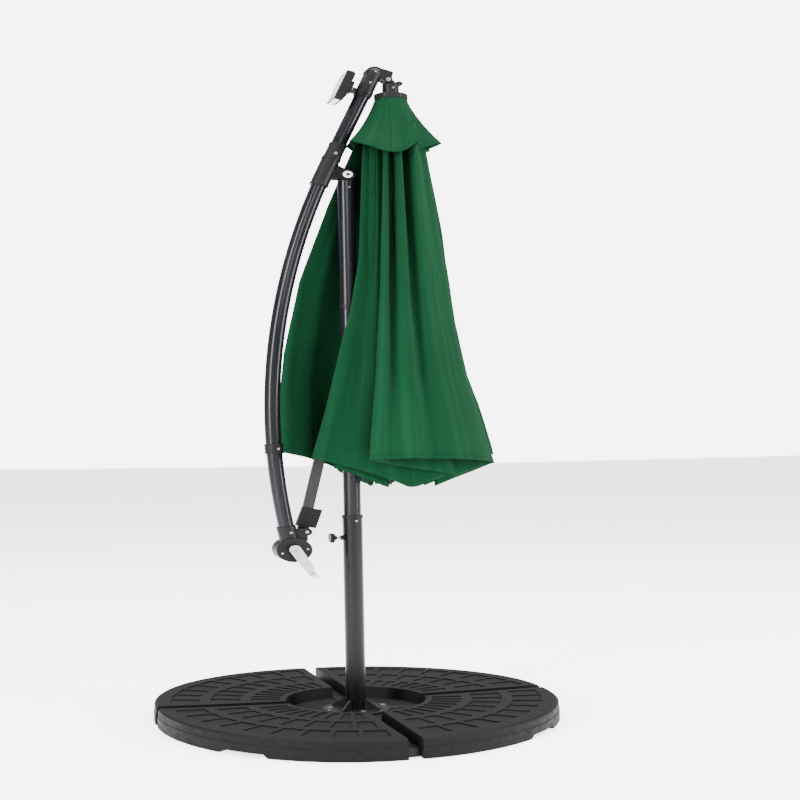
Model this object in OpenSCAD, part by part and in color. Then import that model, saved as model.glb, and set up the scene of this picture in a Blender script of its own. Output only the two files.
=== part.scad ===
// Side-pole patio umbrella, folded, on a cross base with four weight plates.
// Millimetres. Origin on the ground under the pole, +Z up, +X towards the canopy side.

/* [Base] */
// Width across the ring of weight plates
base_d = 1000; // [960:10:1060]
// Height of a weight plate
plate_h = 70; // [64:1:80]
// Gap between neighbouring plates
plate_gap = 34; // [32:1:44]
// Side of the square cross bars
bar_side = 30; // [26:1:31]
// Radius of the sunken pocket round the foot
pocket_r = 174; // [150:1:178]
// Depth of the brick pattern in a plate
brick_depth = 4; // [2:0.5:8]

/* [Pole] */
// Outside diameter of the lower pole
pole_d = 50; // [49:0.5:52]
// Wall of the lower pole
pole_wall = 1.8; // [1.5:0.1:2]
// Height of the top of the lower pole
pole_top = 764; // [740:1:800]
// Outside diameter of the upper pole
mast_d = 44; // [44:0.1:44.5]
// Wall of the tubes
tube_wall = 1.5; // [1.2:0.1:2]
// Height of the pivot at the top of the pole
pivot_z = 2078; // [2070:1:2086]

/* [Arm] */
// Outside diameter of the arm tubes
arm_d = 40; // [38:0.5:40]
// Radius of the curved part of the arm
arc_r = 3040; // [3035:1:3045]
// Length of the straight top of the arm
arm_top_len = 378; // [374:1:380]
// Length of the sleeve that the arm slides through
sleeve_len = 113; // [108:1:118]

/* [Crank and strut] */
// Diameter of the crank housing
drum_d = 90; // [84:1:94]
// Length of the crank arm, from the shaft to the grip
crank_len = 106; // [90:1:116]
// Width of the flat strut bar
strut_w = 28; // [22:1:32]

/* [Canopy] */
// Length of a rib
rib_len = 1465; // [1400:5:1480]
// Thickness of the folded cloth solid
cloth_t = 7; // [5:0.5:9]
// Diameter of the cap disc over the canopy
cap_d = 86; // [80:1:88]

/* [Solar lamp] */
// Length of the solar panel, along the arm
solar_len = 118; // [100:1:124]
// Width of the solar panel
solar_w = 74; // [66:1:90]
// Thickness of the solar panel's housing
solar_t = 24; // [20:1:26]

/* [Hidden] */
$fn = 48;
arc_fn = 720;
ribs = 8;

// weight plates: bricks in three rings, as [inner radius, outer radius, count]
plate_r = base_d / 2 - plate_gap / 2;
plate_bevel = 6;
part_line_z = 0.56 * plate_h;
pocket_floor = 28;
plate_quarters = [0:3];
brick_rings = [[190, 262, 9], [289, 363, 8], [390, 462, 9]];
brick_wall = 12;

// foot
bar_end = 470;
flange_t = 5;
flange_r = 84;
flange_top = bar_side + flange_t;
foot_bolt_r = 68;
gusset_h = 36;
gusset_reach = 42;

// pole
pole_r = pole_d / 2;
pole_bore = pole_r - pole_wall;
mast_r = mast_d / 2;
fit = 0.05;
mast_foot_z = 520;
head_drop = 25;
ferrule_len = 30;
knob_z = 685;
boss_out = 32;
knob_x = 60;
screw_r = 4;
ring_z = 1569;
strut_pivot = [-16, 1312.9];

// arm: everything on the arm lies along a circle about arc_c, then a straight
arc_c = [2840, 1158];
sleeve_a = 17.9;
sleeve_drop = 3.5;
eye_r = 18.5;
eye_off = 54.8;
eye_s = 2.5;
fin_feet = [-22, -10, 2, 14, 30];
fin_root = 15;
ring_a = -2.46;
foot_a = -9.1;
drum_a = -9.7;
straight_a = 18.5;
collar_len = 56;
collar_s = 22.5;
button_s = 14;
button_r = 5;
tail_len = 30;
liner_clear = 0.3;
arm_r = arm_d / 2;
arm_bore = arm_r - tube_wall;
elbow_r = 22.5;
elbow_len = 100;

// strut, beside the arm
lug = [-120, 711];
lug_back = 28;
strut_y = 30;
bar_y = 33;
bar_t = 10;
strut_dir = lug - strut_pivot;
strut_len = norm(strut_dir);
strut_a = atan2(strut_dir[0], strut_dir[1]);

// crank housing
drum_r = drum_d / 2;
drum_front = 32;
drum_back = 28;
drum_split = 4;
shell_t = 3;
crank_a = 155;
crank_y = 50;
spool_r = 29;

// canopy hangs about this axis
hang = [112, 2456];
axis_x = 122;
cap_z = 2380;
cap_h = 24;
neck_r = 21.5;
neck_h = 34;
lobe_z = 2446;
hub_z = 2352;
cloth_top = 2292;
rib_top_r = 24;
rib_foot_r = 50;
rib_z = 2366;
runner_z = 1330;
stem_d = 25;
vent_foot = 2206;

// solar lamp
solar_s = 291;
solar_off = 59;
solar_pin_off = 34;
solar_pin_r = 3;
solar_bevel = 7;
band_s = 294;
band_w = 16;
lug_r = 6;

function arc_point(a) = [arc_c[0] - arc_r * cos(a), 0, arc_c[1] + arc_r * sin(a)];
function deg_of(len) = len / arc_r * 180 / PI;
function elbow_point() = arc_point(straight_a)
  + arm_top_len * [sin(straight_a), 0, cos(straight_a)];

// a rod along the arm's circle, from angle a0 to a1
module arc_rod(d, a0, a1) {
  translate([arc_c[0], 0, arc_c[1]])
    rotate([90, 0, 0])
      rotate([0, 0, 180 - a1])
        rotate_extrude(angle = a1 - a0, $fn = arc_fn)
          translate([arc_r, 0])
            circle(d = d);
}

// puts +Z along the arm at angle a of its circle
module on_arc(a) {
  translate(arc_point(a)) rotate([0, a, 0]) children();
}

// puts +Z along the straight top of the arm, at distance s past the end of the curve
module on_straight(s) {
  translate(arc_point(straight_a)) rotate([0, straight_a, 0]) translate([0, 0, s]) children();
}

// a ring or tube about +Z
module ring(r_out, r_in, h) {
  difference() {
    cylinder(r = r_out, h = h);
    translate([0, 0, -1]) cylinder(r = r_in, h = h + 2);
  }
}

// a rod along Y between two depths, at x and z
module y_rod(x, z, r, y0, y1) {
  translate([x, y0, z]) rotate([-90, 0, 0]) cylinder(r = r, h = y1 - y0);
}

// a pan-head screw square to a pole's wall, a degrees round from -Y, seated at radius r
module wall_screw(a, z, r, head_r = 4, shank = 1) {
  rotate([0, 0, a]) face_screw(0, z, -r, head_r, shank);
}

// a pan-head screw whose head faces -Y at depth y
module face_screw(x, z, y, head_r = 4.5, shank = 8) {
  y_rod(x, z, head_r, y - 2.6, y);
  y_rod(x, z, 2, y, y + shank);
}

// ---------------------------------------------------------------- base

module brick(r0, r1, a0, a1) {
  translate([0, 0, plate_h - brick_depth])
    linear_extrude(brick_depth + 1)
      polygon([r0 * [cos(a0), sin(a0)], r1 * [cos(a0), sin(a0)],
               r1 * [cos(a1), sin(a1)], r0 * [cos(a1), sin(a1)]]);
}

// one ring of bricks over a quarter turn, kept clear of the plate's straight edges
module brick_ring(row) {
  r0 = row[0];
  r1 = row[1];
  margin = asin((plate_gap / 2 + brick_wall + 2) / r0);
  pitch = (90 - 2 * margin) / row[2];
  wall_a = brick_wall / ((r0 + r1) / 2) * 180 / PI;
  for (k = [0:row[2] - 1])
    brick(r0, r1, margin + k * pitch + wall_a / 2, margin + (k + 1) * pitch - wall_a / 2);
}

module base_plate(quarter) {
  color("#3b3b3b")
    rotate([0, 0, 90 * quarter])
      difference() {
        translate([plate_gap / 2, plate_gap / 2, 0])
          rotate_extrude(angle = 90, $fn = 180)
            polygon([[0, 0], [plate_r - 1, 0], [plate_r, 2], [plate_r, part_line_z],
                     [plate_r - 1.5, part_line_z + 1], [plate_r - 2, plate_h - plate_bevel],
                     [plate_r - 2 - plate_bevel, plate_h], [0, plate_h]]);
        translate([0, 0, pocket_floor])
          cylinder(r1 = pocket_r - 8, r2 = pocket_r, h = plate_h - pocket_floor + 0.01, $fn = 120);
        translate([0, 0, -1]) cylinder(r = flange_r / 2, h = plate_h);
        for (row = brick_rings) brick_ring(row);
        rotate([0, 0, 45])
          translate([plate_r - 40, 0, 0])
            rotate([90, 0, 90])
              linear_extrude(80)
                polygon([[-66, -1], [66, -1], [54, 13], [-54, 13]]);
      }
}

module cross_bar_long() {
  color("#2e2e30")
    for (side = [0, 180]) rotate([0, 0, side]) bar_half();
}

// half of the long bar, from the pole's axis outwards
module bar_half() {
  translate([0, -bar_side / 2, 0])
    difference() {
      cube([bar_end, bar_side, bar_side]);
      translate([-1, 2, 2]) cube([bar_end + 2, bar_side - 4, bar_side - 4]);
      translate([foot_bolt_r, bar_side / 2, bar_side / 2]) cylinder(r = 4.5, h = bar_side);
    }
}

module cross_bar_short() {
  color("#2e2e30")
    for (side = [90, 270])
      rotate([0, 0, side])
        difference() {
          bar_half();
          translate([-1, -bar_side, -1]) cube([bar_side / 2 + 1, 2 * bar_side, bar_side + 2]);
        }
}

module bar_end_plugs() {
  color("#1f1f1f")
    for (side = [0:90:270])
      rotate([0, 0, side]) {
        translate([bar_end, -bar_side / 2, 0]) cube([4, bar_side, bar_side]);
        translate([bar_end - 14, -bar_side / 2 + 3, 3])
          cube([14, bar_side - 6, bar_side - 6]);
      }
}

// round flange with four gussets against the pole
module foot_flange() {
  color("#2e2e30") {
    difference() {
      translate([0, 0, bar_side]) cylinder(r = flange_r, h = flange_t);
      for (side = [0:90:270])
        rotate([0, 0, side]) translate([foot_bolt_r, 0, 0]) cylinder(r = 4.5, h = 2 * bar_side);
    }
    for (side = [45:90:315])
      rotate([90, 0, side])
        translate([0, 0, -2.5])
          linear_extrude(5)
            polygon([[pole_r + 0.1, flange_top], [pole_r + gusset_reach, flange_top],
                     [pole_r + gusset_reach, flange_top + 6],
                     [pole_r + 6, flange_top + gusset_h], [pole_r + 0.1, flange_top + gusset_h]]);
  }
}

// four foot bolts with washers, and the screw that holds the collar
module base_screws() {
  color("silver") {
    for (side = [0:90:270])
      rotate([0, 0, side])
        translate([foot_bolt_r, 0, 0]) {
          translate([0, 0, flange_top]) cylinder(r = 9.5, h = 1.6);
          translate([0, 0, flange_top + 1.6]) cylinder(r = 8, h = 6, $fn = 6);
          translate([0, 0, 8]) cylinder(r = 4.2, h = flange_top - 6.4);
        }
    wall_screw(7, pole_top - 15, pole_r, 3.4);
  }
}

// ---------------------------------------------------------------- lower pole

module lower_pole() {
  color("#3a3a3f")
    difference() {
      translate([0, 0, flange_top]) ring(pole_r, pole_bore, pole_top - flange_top);
      translate([0, 0, knob_z]) rotate([0, -90, 0]) cylinder(r = screw_r + 0.6, h = 2 * pole_r);
    }
}

// plastic collar at the top of the lower pole, and the upper pole's upper bearing
module pole_ferrule() {
  color("#2b2b2b")
    rotate_extrude($fn = 96)
      polygon([[mast_r + fit, pole_top - ferrule_len], [pole_bore, pole_top - ferrule_len],
               [pole_bore, pole_top], [pole_r, pole_top], [pole_r, pole_top - 5],
               [pole_r + 1.8, pole_top - 5], [pole_r + 1.8, pole_top + 4],
               [pole_r + 1, pole_top + 6], [mast_r + fit, pole_top + 6]]);
}

// cup fixed inside the lower pole, which the upper pole stands in
module pole_bush() {
  color("#2b2b2b")
    rotate_extrude($fn = 96)
      polygon([[16, mast_foot_z - 8], [pole_bore, mast_foot_z - 8],
               [pole_bore, mast_foot_z + 24], [mast_r + fit, mast_foot_z + 24],
               [mast_r + fit, mast_foot_z], [16, mast_foot_z]]);
}

module knob_boss() {
  color("#2b2b2b")
    difference() {
      translate([0, 0, knob_z]) rotate([0, -90, 0]) cylinder(r = 9, h = boss_out);
      cylinder(r = pole_r, h = pole_top);
      translate([0, 0, knob_z]) rotate([0, -90, 0]) cylinder(r = screw_r + fit, h = 60);
    }
}

// five-lobed clamp knob
module clamp_knob() {
  color("#1f1f1f")
    translate([-knob_x, 0, knob_z])
      rotate([0, 90, 0]) {
        cylinder(r = 15, h = 12);
        for (k = [0:72:288]) rotate([0, 0, k]) translate([14, 0, 1]) cylinder(r = 5, h = 10);
        cylinder(r = 7.5, h = 18);
      }
}

module clamp_screw() {
  color("silver")
    translate([-knob_x + 18, 0, knob_z])
      rotate([0, 90, 0]) cylinder(r = screw_r, h = knob_x - 18 - mast_r - 0.4);
}

// ---------------------------------------------------------------- upper pole

module upper_pole() {
  color("#3a3a3f")
    translate([0, 0, mast_foot_z]) ring(mast_r, mast_r - tube_wall, pivot_z - head_drop - mast_foot_z);
}

module mast_ring() {
  color("#2b2b2b")
    difference() {
      union() {
        translate([0, 0, ring_z - 8]) cylinder(r = mast_r + 2.6, h = 16);
        translate([mast_r - 2, -9, ring_z - 6]) cube([10, 8, 12]);
      }
      cylinder(r = mast_r, h = pivot_z);
    }
}

module mast_screws() {
  color("silver") {
    translate([mast_r + 8, -5, ring_z]) rotate([0, 90, 0]) cylinder(r = 3.4, h = 2.2);
    wall_screw(5, pivot_z - 50, mast_r, 3.2);
  }
}

// clamp round the upper pole with a boss for the strut's pivot
module strut_bracket() {
  color("#2b2b2b")
    difference() {
      union() {
        translate([0, 0, strut_pivot[1] - 20]) cylinder(r = mast_r + 4, h = 40);
        y_rod(strut_pivot[0], strut_pivot[1], 12, 0, strut_y - 1);
        translate([strut_pivot[0], 0, strut_pivot[1] - 12]) cube([20, strut_y - 1, 24]);
      }
      cylinder(r = mast_r, h = pivot_z);
    }
}

// stud with a spacer and a nut; the strut's eye turns between them
module strut_stud() {
  color("silver") {
    y_rod(strut_pivot[0], strut_pivot[1], 4, strut_y - 1, bar_y + bar_t + 2);
    y_rod(strut_pivot[0], strut_pivot[1], 7.5, strut_y - 1, bar_y - 0.4);
    y_rod(strut_pivot[0], strut_pivot[1], 7.5, bar_y + bar_t + 0.4, bar_y + bar_t + 5);
  }
}

// cap with the tongue that the sleeve's fork swings on
module pole_head() {
  color("#2b2b2b")
    difference() {
      union() {
        translate([0, 0, pivot_z - head_drop]) cylinder(r = mast_r, h = 4);
        translate([0, 0, pivot_z - 70]) cylinder(r = mast_r - tube_wall, h = 72 - head_drop);
        y_rod(0, pivot_z, 14.5, -9.6, 9.6);
        translate([-14.5, -9.6, pivot_z - 24]) cube([29, 19.2, 24]);
      }
      y_rod(0, pivot_z, 5 + fit, -20, 20);
    }
}

// ---------------------------------------------------------------- sleeve

// tube that the arm slides through, with a finned fork on the pole's pivot
module arm_sleeve() {
  color("#2b2b2b")
    difference() {
      union() {
        on_arc(sleeve_a)
          translate([0, 0, -sleeve_len / 2 - sleeve_drop]) {
            cylinder(r = 24, h = sleeve_len);
            cylinder(r = 25.2, h = 7);
            translate([0, 0, sleeve_len - 7]) cylinder(r = 25.2, h = 7);
          }
        sleeve_cheek();
        mirror([0, 1, 0]) sleeve_cheek();
      }
      arc_rod(44, sleeve_a - 2, sleeve_a + 2);
      y_rod(0, pivot_z, 5, -30, 30);
    }
}

// one cheek of the fork: an eye, a thin web, and fins fanned out from the eye to the sleeve
module sleeve_cheek() {
  y_rod(0, pivot_z, eye_r, 10, 19);
  sleeve_plate(10.6, 13, [[fin_root, 32], [eye_off + 3, eye_s + 16],
                          [eye_off + 3, eye_s - 16], [fin_root, -28]]);
  for (t = fin_feet)
    sleeve_plate(13, 18, [[eye_off, eye_s + 1.5], [eye_off, eye_s - 1.5],
                          [fin_root, eye_s + t - 1.5], [fin_root, eye_s + t + 1.5]]);
}

// a flat plate square to Y, between two depths, with its outline off and along the sleeve
module sleeve_plate(y0, y1, outline) {
  on_arc(sleeve_a)
    rotate([90, 0, 0])
      translate([0, 0, -y1])
        linear_extrude(y1 - y0)
          polygon(outline);
}

module sleeve_liners() {
  color("#e0e0dc")
    for (s = [-1, 1]) {
      mid = sleeve_a - deg_of(sleeve_drop) + s * deg_of(sleeve_len / 2 - 13);
      difference() {
        arc_rod(44, mid - deg_of(11), mid + deg_of(11));
        arc_rod(arm_d + 2 * liner_clear, mid - 1, mid + 1);
      }
    }
}

module pivot_pin() {
  color("silver") {
    y_rod(0, pivot_z, 5, -22, 22);
    y_rod(0, pivot_z, 4, -25, -22);
  }
}

module pivot_washers() {
  color("white")
    for (y = [-21, 19])
      translate([0, y, pivot_z]) rotate([-90, 0, 0]) ring(12.5, 5, 2);
}

// ---------------------------------------------------------------- arm

module arm_lower_tube() {
  color("#3a3a3f")
    difference() {
      arc_rod(arm_d, foot_a, ring_a);
      arc_rod(arm_d - 2 * tube_wall, foot_a - 1, ring_a + 1);
    }
}

module arm_joint_ring() {
  color("#2b2b2b")
    difference() {
      union() {
        on_arc(ring_a) {
          translate([0, 0, -18]) cylinder(r = arm_r + 3.4, h = 36);
          for (z = [-18, 14]) translate([0, 0, z]) cylinder(r = arm_r + 4.4, h = 4);
        }
      }
      arc_rod(arm_d, ring_a - 1, ring_a + 1);
    }
}

// curved tube from the ring up through the sleeve, with a short straight tail
module arm_mid_tube() {
  color("#3a3a3f") {
    difference() {
      arc_rod(arm_d, ring_a, straight_a);
      arc_rod(arm_d - 2 * tube_wall, ring_a - 1, straight_a + 1);
    }
    on_straight(0) ring(arm_r, arm_bore, tail_len);
  }
}

module arm_collar() {
  color("#2b2b2b")
    difference() {
      union() {
        on_straight(collar_s) cylinder(r = arm_r + 2.6, h = collar_len);
        on_straight(collar_s) cylinder(r = arm_r + 3.8, h = 6);
        on_straight(collar_s + collar_len - 6) cylinder(r = arm_r + 3.8, h = 6);
      }
      on_straight(0) cylinder(r = arm_r, h = 200);
      button_rod(button_r + fit, 12, 32);
    }
}

module arm_top_tube() {
  color("#3a3a3f")
    difference() {
      on_straight(tail_len) ring(arm_r, arm_bore, arm_top_len - tail_len - 24);
      button_rod(button_r + 0.2, 12, 32);
    }
}

// elbow at the top of the arm: a socket, a round crown and a forked snout
module elbow_fitting() {
  e = elbow_point();
  color("#2b2b2b")
    difference() {
      union() {
        on_straight(arm_top_len - elbow_len) cylinder(r = elbow_r, h = elbow_len);
        on_straight(arm_top_len - elbow_len) cylinder(r = elbow_r + 0.8, h = 5);
        translate(e) sphere(r = elbow_r);
        y_rod(e[0], e[2], elbow_r + 0.6, -16, 16);
        rotate([90, 0, 0])
          translate([0, 0, -16])
            linear_extrude(32)
              polygon([[e[0] + 4, e[2] + 21], [hang[0] + 8, hang[1] + 33],
                       [hang[0] + 14, hang[1] + 30], [hang[0] + 12, hang[1] + 20],
                       [hang[0] + 8, hang[1] - 4], [hang[0] - 11, hang[1] - 5],
                       [e[0] + 14, e[2] - 26]]);
        y_rod(hang[0], hang[1], 12, -16, 16);
      }
      on_straight(0) cylinder(r = arm_r, h = arm_top_len - 24);
      on_straight(arm_top_len - 30) cylinder(r = 17, h = 36);
      y_rod(e[0], e[2], 14.5, -8, 8);
      // slot for the hanger's tongue, and the rope's way over the pulley
      translate([hang[0] - 15.5, -10, hang[1] - 30]) cube([60, 20, 45.5]);
      translate([hang[0] - 40, -6, hang[1] - 2]) cube([40, 12, 14]);
      y_rod(hang[0], hang[1], 5, -30, 30);
      y_rod(e[0], e[2], 3, -30, 30);
    }
}

module arm_screws() {
  r = arc_point(ring_a);
  e = elbow_point();
  color("silver") {
    face_screw(r[0] + 6, r[2], -arm_r - 2.7, 3.8, 2);
    face_screw(e[0], e[2], -elbow_r, 3.4, 2);
    on_straight(arm_top_len - 46)
      rotate([0, -straight_a, 0]) face_screw(0, 0, -elbow_r, 3.4, 2);
    y_rod(e[0], e[2], 3, -elbow_r + 2, elbow_r - 2);
  }
}

module hang_pin() {
  color("silver") {
    y_rod(hang[0], hang[1], 5, -16, 16);
    for (y = [-18, 16]) y_rod(hang[0], hang[1], 6.5, y, y + 2);
  }
}

// lifting rope, inside the arm from the spool to the elbow
module crank_rope() {
  color("#d8d4c8") {
    arc_rod(4, foot_a + 0.6, straight_a);
    on_straight(0) cylinder(r = 2, h = arm_top_len - 16);
  }
}

module snap_button() {
  color("silver")
    button_rod(button_r, 12, 24.5);
}

// a rod square to the arm, from depth y0 to y1 in front of its middle
module button_rod(r, y0, y1) {
  on_straight(collar_s + button_s) rotate([90, 0, 0]) translate([0, 0, y0]) cylinder(r = r, h = y1 - y0);
}

module elbow_pulley() {
  e = elbow_point();
  color("#d8d8d8")
    translate([e[0], 0, e[2]])
      rotate([-90, 0, 0])
        rotate_extrude($fn = 72)
          polygon([[3 + fit, -5], [13, -5], [13, -3.5], [10, 0], [13, 3.5], [13, 5], [3 + fit, 5]]);
}

// ---------------------------------------------------------------- crank

// outer form of the crank housing: drum, neck socket and strut ear
module housing_form(grow = 0) {
  d = arc_point(drum_a);
  y_rod(d[0], d[2], drum_r + grow, -drum_front - grow, drum_back + grow);
  on_arc(foot_a) cylinder(r = 24.5 + grow, h = 58);
}

module ear_form() {
  y_rod(lug[0], lug[1], 14, -12, lug_back);
  translate([lug[0] - 30, -12, lug[1] - 34]) cube([32, lug_back + 12, 40]);
}

module housing_shell() {
  d = arc_point(drum_a);
  difference() {
    union() {
      housing_form();
      ear_form();
      y_rod(d[0], d[2], 13, -drum_front - 4, -drum_front);
    }
    y_rod(d[0], d[2], drum_r - shell_t, -drum_front + shell_t, drum_back - shell_t);
    arc_rod(arm_d, foot_a, ring_a);
    arc_rod(20, drum_a, foot_a + 0.5);
    y_rod(d[0], d[2], 6 + fit, -60, 60);
    y_rod(lug[0], lug[1], 4, -40, 40);
  }
}

module crank_housing_front() {
  color("#2b2b2b")
    intersection() {
      housing_shell();
      translate([-300, -80 + drum_split, 500]) cube([300, 80, 400]);
    }
}

module crank_housing_back() {
  color("#2b2b2b")
    intersection() {
      housing_shell();
      translate([-300, drum_split, 500]) cube([300, 80, 400]);
    }
}

module housing_screws() {
  d = arc_point(drum_a);
  n = arc_point(drum_a + 1.25);
  color("silver") {
    for (k = [6, 199])
      face_screw(d[0] + 33 * cos(k), d[2] + 33 * sin(k), -drum_front, 3.2, 3);
    face_screw(n[0] + 4, n[2], -24.2, 3.8, 2);
    y_rod(lug[0], lug[1], 4, -12, lug_back);
    y_rod(lug[0], lug[1], 4.8, -14.5, -12);
  }
}

module crank_shaft() {
  d = arc_point(drum_a);
  color("silver") y_rod(d[0], d[2], 6, -crank_y, drum_back - 0.5);
}

module rope_spool() {
  d = arc_point(drum_a);
  color("#d8d8d8")
    difference() {
      union() {
        y_rod(d[0], d[2], 16, -16, 16);
        for (y = [-19, 16]) y_rod(d[0], d[2], spool_r, y, y + 3);
      }
      y_rod(d[0], d[2], 6, -60, 60);
    }
}

// lever from the shaft to the grip, tapering along its length
module crank_arm() {
  d = arc_point(drum_a);
  color("#c9ccd0")
    translate([d[0], -crank_y, d[2]])
      rotate([0, crank_a, 0])
        difference() {
          union() {
            y_rod(0, -6, 15, 0, 7);
            y_rod(0, 0, 9, 0, 13.6);
            y_rod(0, crank_len, 7, 0, 7);
            rotate([90, 0, 0])
              translate([0, 0, -7])
                linear_extrude(7)
                  polygon([[-15, -6], [15, -6], [13.5, 0.6 * crank_len], [7, crank_len],
                           [-7, crank_len], [-13.5, 0.6 * crank_len]]);
          }
          y_rod(0, 0, 6, -1, 16);
          y_rod(0, crank_len, 3 + fit, -1, 12);
        }
}

// turning grip on its own pin at the end of the lever
module crank_grip() {
  d = arc_point(drum_a);
  color("#3a3a3f")
    translate([d[0], -crank_y, d[2]])
      rotate([0, crank_a, 0]) {
        y_rod(0, crank_len, 3, -2, 9);
        y_rod(0, crank_len, 5.5, 7.4, 9.4);
        y_rod(0, crank_len, 8.5, -20, -0.6);
        y_rod(0, crank_len, 6.5, -24, -20);
      }
}

// ---------------------------------------------------------------- strut

// puts -Z along the strut, with the origin on its upper pivot
module on_strut() {
  translate([strut_pivot[0], 0, strut_pivot[1]]) rotate([0, strut_a - 180, 0]) children();
}

module strut_bar() {
  color("#5a5a5a")
    on_strut()
      difference() {
        union() {
          translate([-strut_w / 2, bar_y, -strut_len + 36]) cube([strut_w, bar_t, strut_len - 36]);
          y_rod(0, 0, strut_w / 2, bar_y, bar_y + bar_t);
        }
        y_rod(0, 0, 4 + fit, 0, 60);
      }
}

// plastic end of the strut, beside the lug on the crank housing
module strut_end_fitting() {
  color("#1f1f1f")
    on_strut()
      difference() {
        union() {
          translate([8, strut_y, -strut_len + 52])
            rotate([0, 5, 0])
              difference() {
                translate([-26, 0, -36]) cube([52, 16, 72]);
                for (x = [-14:7:14]) translate([x - 1, -1, -37]) cube([2, 2, 74]);
              }
          y_rod(0, -strut_len, 14, strut_y, strut_y + 16);
          translate([-14, strut_y, -strut_len]) cube([28, 16, 20]);
        }
        translate([-strut_w / 2, bar_y, -strut_len + 36]) cube([strut_w, bar_t, 80]);
        y_rod(0, -strut_len, 4, 0, 60);
      }
}

module strut_rivets() {
  color("silver")
    on_strut() {
      y_rod(0, -strut_len, 4, strut_y, strut_y + 16);
      y_rod(0, -strut_len, 7, strut_y + 16, strut_y + 18.5);
      y_rod(0, -strut_len + 62, 4.5, strut_y + 16, strut_y + 18);
    }
}

// ---------------------------------------------------------------- hanger and canopy

module about_axis() {
  translate([axis_x, 0, 0]) children();
}

// knuckle in the elbow's fork, and the neck above the cap disc
module hanger_neck() {
  color("#2b2b2b")
    difference() {
      union() {
        y_rod(hang[0], hang[1], 12.5, -9.6, 9.6);
        translate([hang[0] - 8, -9.6, hang[1] - 22]) cube([26, 19.2, 22]);
        about_axis() translate([0, 0, cap_z + cap_h]) cylinder(r = neck_r, h = neck_h);
        translate([axis_x + 4, -6, lobe_z - 9]) cube([18, 12, 13]);
        y_rod(axis_x + 22, lobe_z, 9, -6, 6);
      }
      y_rod(hang[0], hang[1], 5 + fit, -30, 30);
      y_rod(axis_x + 22, lobe_z, 3, -30, 30);
      about_axis() translate([0, 0, cap_z]) cylinder(r = 3, h = 45);
    }
}

// fluted disc over the top of the canopy
module cap_disc() {
  color("#1f1f1f")
    about_axis()
      difference() {
        union() {
          translate([0, 0, cap_z]) cylinder(d = cap_d - 3, h = cap_h - 4);
          translate([0, 0, cap_z + cap_h - 4]) cylinder(d1 = cap_d - 3, d2 = cap_d - 34, h = 4);
          for (k = [0:15:345])
            rotate([0, 0, k])
              translate([cap_d / 2 - 3, 0, cap_z]) cylinder(r = 3, h = cap_h - 5, $fn = 24);
        }
        translate([0, 0, cap_z - 1]) cylinder(r = 3, h = cap_h + 2);
      }
}

module rib_hub() {
  color("#2b2b2b")
    about_axis()
      difference() {
        translate([0, 0, hub_z]) cylinder(r = 36, h = cap_z - hub_z);
        for (k = [0:45:315])
          rotate([0, 0, k]) translate([rib_top_r - 7, -7, hub_z - 1]) cube([30, 14, 22]);
        translate([0, 0, hub_z - 1]) cylinder(r = 3, h = 60);
        translate([0, 0, hub_z - 1]) cylinder(d = stem_d, h = 16);
      }
}

module canopy_stem() {
  color("#3a3a3f")
    about_axis()
      translate([0, 0, runner_z - 50]) ring(stem_d / 2, stem_d / 2 - 1.5, hub_z + 15 - runner_z + 50);
}

module runner() {
  color("#2b2b2b")
    about_axis()
      translate([0, 0, runner_z]) {
        ring(20, stem_d / 2 + 0.2, 44);
        ring(34, stem_d / 2 + 0.2, 6);
      }
}

// places a child at rib k, tilted so that its foot stands further out than its top
module along_rib(k) {
  lean = asin((rib_foot_r - rib_top_r) / rib_len);
  about_axis()
    rotate([0, 0, 45 * k])
      translate([rib_top_r + 6, 0, rib_z])
        rotate([0, 180 - lean, 0]) children();
}

module ribs() {
  color("#4a4a4e")
    for (k = [0:ribs - 1]) along_rib(k) cylinder(r = 4.5, h = rib_len);
}

module rib_tips() {
  color("#1f1f1f")
    for (k = [0:ribs - 1]) along_rib(k) translate([0, 0, rib_len]) cylinder(r = 6, h = 14);
}

// struts from the runner up to the middle of each rib
module stretchers() {
  color("#4a4a4e")
    for (k = [0:ribs - 1])
      about_axis()
        rotate([0, 0, 45 * k + 14])
          translate([30.4, 0, runner_z + 6]) rotate([0, 0.2, 0]) cylinder(r = 3, h = 460);
}

// hem points of each fold of the cloth, as [x, y, height]
fold_left = [[-150, 74, 1012], [-120, 62, 1004], [20, 62, 960], [70, 130, 950],
             [0, 160, 975], [-90, 118, 1005]];
fold_back = [[40, 62, 920], [200, 70, 895], [225, 185, 960], [130, 205, 985], [40, 170, 950]];
fold_back_right = [[150, 20, 895], [380, 20, 1000], [350, 95, 1000], [235, 165, 960]];
fold_right = [[150, -20, 890], [384, 0, 1002], [340, -80, 985], [210, -148, 975], [130, -90, 890]];
fold_front = [[70, -46, 905], [150, -90, 890], [60, -165, 970], [-20, -135, 975], [0, -46, 960]];
fold_left_front = [[-112, -66, 1000], [-92, -42, 1000], [60, -42, 940], [60, -120, 960],
                   [-40, -118, 985]];
fold_core = [[56, -46, 905], [56, 62, 905], [190, 62, 892], [190, -60, 890], [132, -84, 890]];
left_bulge = [[-146, 66, 1400], [-70, 62, 1400], [60, 62, 1400], [60, 110, 1400], [-60, 104, 1400]];

// one fold: from a round bunch at the top to its hem points, grown by g
module fold(pts, top, r, g) {
  hull() {
    translate([top[0], top[1], cloth_top - 4]) cylinder(r = r + g, h = 4, $fn = 10);
    for (p = pts) translate([p[0], p[1], p[2]]) cylinder(r = 6 + g, h = 4, $fn = 8);
  }
}

// the same, with points part-way down that bow it outwards
module bowed_fold(pts, mids, top, r, g) {
  fold(mids, top, r, g);
  hull() {
    for (p = mids) translate([p[0], p[1], p[2]]) cylinder(r = 6 + g, h = 4, $fn = 8);
    for (p = pts) translate([p[0], p[1], p[2]]) cylinder(r = 6 + g, h = 4, $fn = 8);
  }
}

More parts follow.
